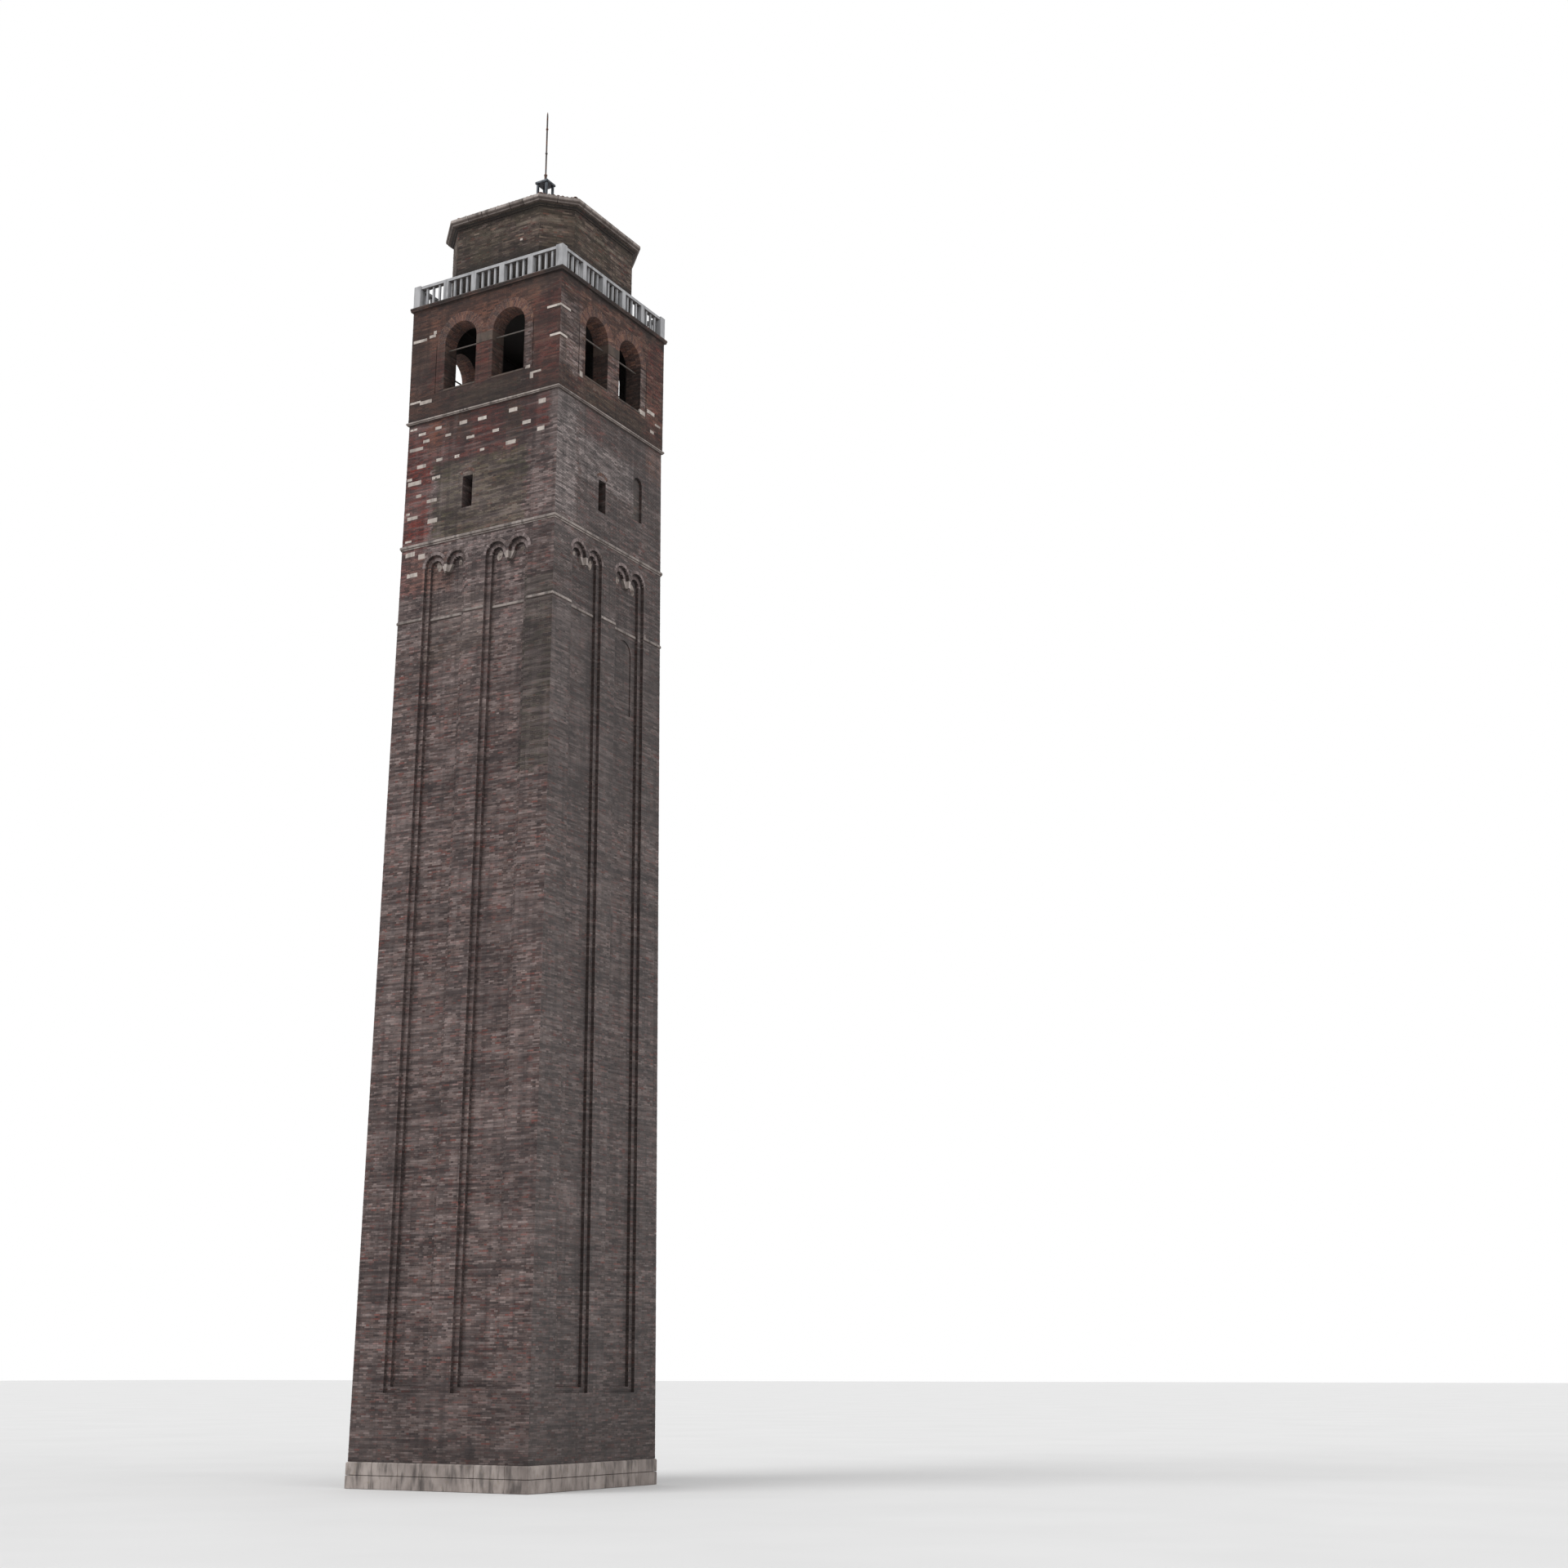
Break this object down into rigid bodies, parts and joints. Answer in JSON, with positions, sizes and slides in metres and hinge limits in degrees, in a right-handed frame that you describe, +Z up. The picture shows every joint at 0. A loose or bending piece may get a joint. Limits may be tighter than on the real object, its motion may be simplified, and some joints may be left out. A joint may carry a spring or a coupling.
{
  "type": "brick bell tower, scale model at half size",
  "caption": "Square brick bell tower at half size: blind arcading, open bell chamber, balustraded terrace, chamfered drum and small roof lantern.",
  "frame": {"origin": "centre of the foot, at ground level", "axes": "+Z up the tower; the front face looks along -Y and the right face along +X"},
  "size_m": [3.92, 3.935, 27.47],
  "materials": {
    "shaft_brick": "matte",
    "upper_brick": "matte",
    "belfry_brick": "matte",
    "drum_brick": "matte",
    "weathered_stone": "matte",
    "balustrade_stone": "matte",
    "old_timber": "matte",
    "wrought_iron": "matte",
    "clay_tile": "matte",
    "sheet_lead": "matte"
  },
  "bodies": {
    "root": {"door_piers": "shaft_brick", "lower_wall_front": "shaft_brick", "lower_wall_right": "shaft_brick", "lower_wall_back": "shaft_brick", "lower_wall_left": "shaft_brick", "upper_wall_front": "upper_brick", "upper_wall_right": "upper_brick", "upper_wall_back": "upper_brick", "upper_wall_left": "upper_brick", "belfry_parapets": "belfry_brick", "corner_piers": "belfry_brick", "middle_piers": "belfry_brick", "arch_wall_front": "belfry_brick", "arch_wall_right": "belfry_brick", "arch_wall_back": "belfry_brick", "arch_wall_left": "belfry_brick", "drum_walls": "drum_brick", "drum_corner_walls": "drum_brick", "plinth": "weathered_stone", "door_threshold": "weathered_stone", "door_frame": "weathered_stone", "arch_corbels": "weathered_stone", "low_string_course": "weathered_stone", "middle_string_course": "weathered_stone", "belfry_string_course": "weathered_stone", "window_sills": "weathered_stone", "impost_blocks": "weathered_stone", "corner_cramps": "weathered_stone", "terrace_slab": "weathered_stone", "drum_cornice": "weathered_stone", "lantern_foot": "weathered_stone", "ground_floor": "weathered_stone", "balustrade_front": "balustrade_stone", "balustrade_right": "balustrade_stone", "balustrade_back": "balustrade_stone", "balustrade_left": "balustrade_stone", "balustrade_corner_posts": "balustrade_stone", "door_leaf": "old_timber", "belfry_floor": "old_timber", "tie_bars": "wrought_iron", "rod": "wrought_iron", "drum_roof": "clay_tile", "lantern_posts": "sheet_lead", "lantern_cap": "sheet_lead"}
  },
  "joints": []
}
